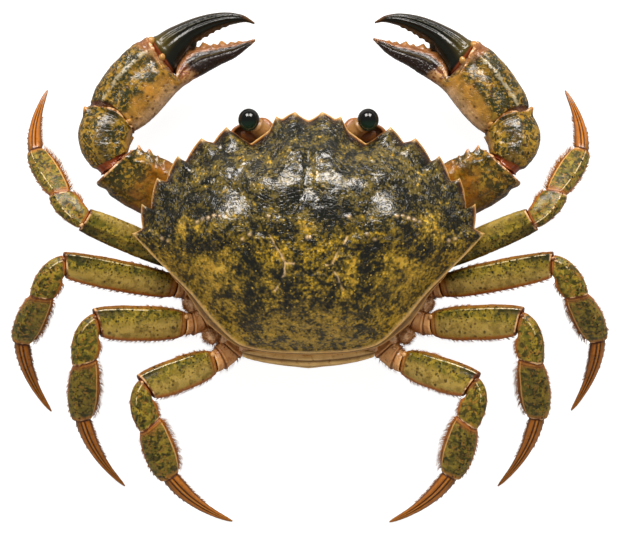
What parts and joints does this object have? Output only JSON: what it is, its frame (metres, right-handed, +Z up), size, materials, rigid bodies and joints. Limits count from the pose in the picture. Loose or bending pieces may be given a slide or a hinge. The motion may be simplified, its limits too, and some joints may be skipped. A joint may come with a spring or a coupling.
{
  "type": "shore crab",
  "caption": "Life-size still model of a shore crab, olive green with a toothed shell, standing on its walking legs with open claws held forward.",
  "frame": {"origin": "on the floor under the middle of the animal's outline as seen from above", "axes": "+Z up, -Y the way the head faces, +X to the animal's left"},
  "size_m": [0.1364, 0.118, 0.0349],
  "materials": {
    "shell": "wet, glossy, grained shell in mottled olive green and dark brown",
    "claw": "smooth, glossy shell, olive above and cream orange below, with small brown dots",
    "leg": "satin shell, olive with dark speckles and orange brown edges, fringed with short bristles",
    "toe": "orange brown horn with dark grooves and sharp tips",
    "finger": "polished blackish green horn with pale ridges and brown tips",
    "underside": "pale cream tan shell with fine pores",
    "eye": "glossy black green cornea",
    "stalk": "tan and orange brown, slightly translucent shell"
  },
  "bodies": {
    "root": {"abdomen": "underside", "antenna_left": "stalk", "antenna_right": "stalk", "carapace": "shell", "claw_left_arm": "claw", "claw_left_carpus": "claw", "claw_left_finger": "finger", "claw_left_palm": "claw", "claw_right_arm": "claw", "claw_right_carpus": "claw", "claw_right_finger": "finger", "claw_right_palm": "claw", "eye_left": "eye", "eye_right": "eye", "eyestalk_left": "stalk", "eyestalk_right": "stalk", "leg1_left_carpus": "leg", "leg1_left_dactyl": "toe", "leg1_left_hip": "underside", "leg1_left_merus": "leg", "leg1_left_propodus": "leg", "leg1_right_carpus": "leg", "leg1_right_dactyl": "toe", "leg1_right_hip": "underside", "leg1_right_merus": "leg", "leg1_right_propodus": "leg", "leg2_left_carpus": "leg", "leg2_left_dactyl": "toe", "leg2_left_hip": "underside", "leg2_left_merus": "leg", "leg2_left_propodus": "leg", "leg2_right_carpus": "leg", "leg2_right_dactyl": "toe", "leg2_right_hip": "underside", "leg2_right_merus": "leg", "leg2_right_propodus": "leg", "leg3_left_carpus": "leg", "leg3_left_dactyl": "toe", "leg3_left_hip": "underside", "leg3_left_merus": "leg", "leg3_left_propodus": "leg", "leg3_right_carpus": "leg", "leg3_right_dactyl": "toe", "leg3_right_hip": "underside", "leg3_right_merus": "leg", "leg3_right_propodus": "leg", "leg4_left_carpus": "leg", "leg4_left_dactyl": "toe", "leg4_left_hip": "underside", "leg4_left_merus": "leg", "leg4_left_propodus": "leg", "leg4_right_carpus": "leg", "leg4_right_dactyl": "toe", "leg4_right_hip": "underside", "leg4_right_merus": "leg", "leg4_right_propodus": "leg", "mouth_plate_left": "underside", "mouth_plate_right": "underside", "underbody": "underside"}
  },
  "joints": []
}
